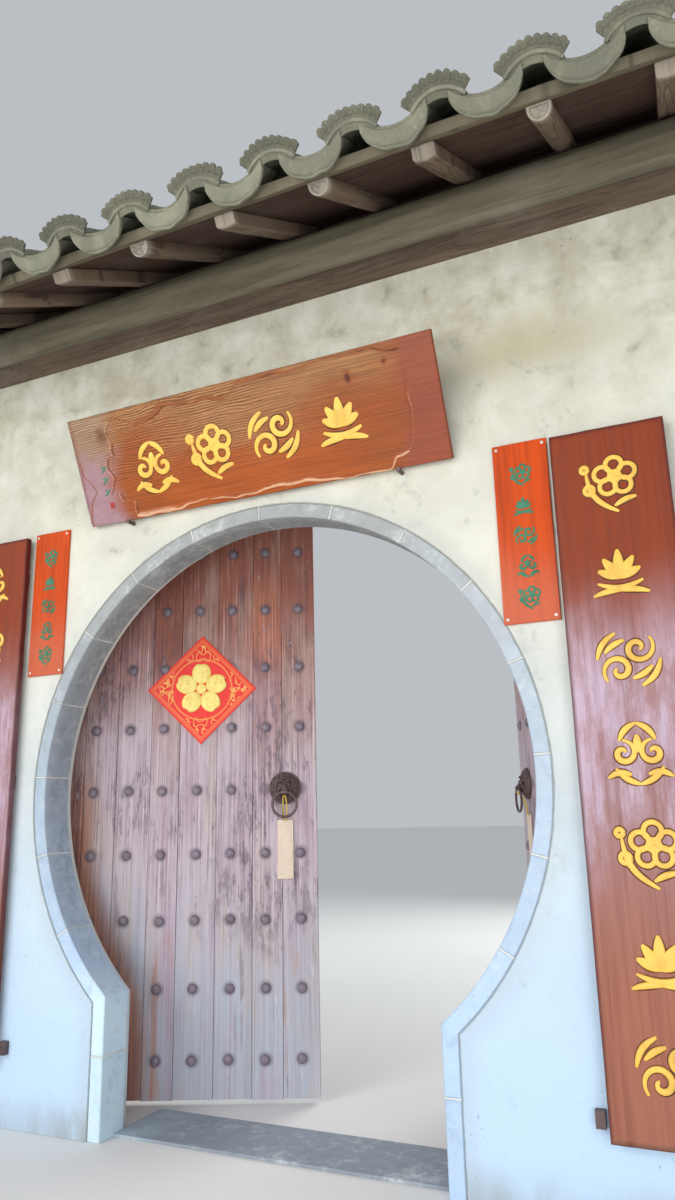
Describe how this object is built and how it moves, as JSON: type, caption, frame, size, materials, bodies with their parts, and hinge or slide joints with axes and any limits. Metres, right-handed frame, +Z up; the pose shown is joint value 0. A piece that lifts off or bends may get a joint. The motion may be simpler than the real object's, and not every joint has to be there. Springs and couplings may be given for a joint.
{
  "type": "moon gate",
  "caption": "Plastered garden wall with a round stone-lined doorway, two studded plank leaves on pivots, ring knockers, name boards and a small tiled roof.",
  "frame": {"origin": "on the ground at the middle of the doorway, midway through the wall's thickness", "axes": "+X along the wall to the right seen from the front, +Y through the wall to the inner side, +Z up"},
  "size_m": [4.526, 2.0416, 3.83],
  "materials": {
    "plaster": "lime-washed render over brick",
    "grey_stone": "smooth dressed stone",
    "mortar": "lime mortar",
    "weathered_wood": "weathered, unpainted",
    "dark_wood": "dark and dusty",
    "grey_tile": "unglazed fired clay",
    "door_wood": "weathered, worn oil finish",
    "black_iron": "dark and slightly rusty",
    "varnished_wood": "varnished",
    "orange_board": "painted and varnished"
  },
  "bodies": {
    "wall": {"pier_left": "plaster", "pier_right": "plaster", "wall_over": "plaster", "screen_upper_left": "plaster", "screen_upper_right": "plaster", "screen_lower_left": "plaster", "screen_lower_right": "plaster", "ring_stones_left": "grey_stone", "ring_stones_right": "grey_stone", "jamb_stones": "grey_stone", "threshold_stone": "grey_stone", "pivot_stones": "grey_stone", "head_beam": "dark_wood", "wall_plates": "weathered_wood", "purlins": "weathered_wood", "ridge_core": "plaster", "ridge_log": "weathered_wood", "rafters_front": "weathered_wood", "rafters_back": "weathered_wood", "boarding_front": "dark_wood", "boarding_back": "dark_wood", "bedding": "mortar", "eave_boards": "weathered_wood", "pan_tiles_front": "grey_tile", "pan_tiles_back": "grey_tile", "cover_tiles_front": "grey_tile", "cover_tiles_back": "grey_tile", "roof_ridge": "grey_tile", "signboard": "varnished_wood", "sign_irons": "black_iron", "couplet_left": "varnished_wood", "couplet_right": "varnished_wood", "couplet_battens": "dark_wood", "small_boards": "orange_board"},
    "left_leaf": {"leaf_left": "door_wood", "pivot_post_left": "door_wood", "battens_left": "door_wood", "knocker_left": "black_iron"},
    "right_leaf": {"leaf_right": "door_wood", "pivot_post_right": "door_wood", "battens_right": "door_wood", "knocker_right": "black_iron"},
    "left_ring": {"knocker_ring_left": "black_iron"},
    "right_ring": {"knocker_ring_right": "black_iron"}
  },
  "joints": [
    {"name": "left_leaf_pivot", "type": "hinge", "parent": "wall", "child": "left_leaf", "pos_m": [-1.2, 0.0375, 0], "axis": [0, 0, 1], "range_deg": [-23.1, 66.9]},
    {"name": "right_leaf_pivot", "type": "hinge", "parent": "wall", "child": "right_leaf", "pos_m": [1.2, 0.0375, 0], "axis": [0, 0, -1], "range_deg": [-64.5, 25.5]},
    {"name": "left_ring_swing", "type": "hinge", "parent": "left_leaf", "child": "left_ring", "pos_m": [-0.1989, 0.39221, 1.222], "axis": [-0.9198, -0.3923, 0], "range_deg": [-12, 88]},
    {"name": "right_ring_swing", "type": "hinge", "parent": "right_leaf", "child": "right_ring", "pos_m": [0.68364, 0.96561, 1.222], "axis": [-0.4305, 0.9026, 0], "range_deg": [-12, 88]}
  ]
}
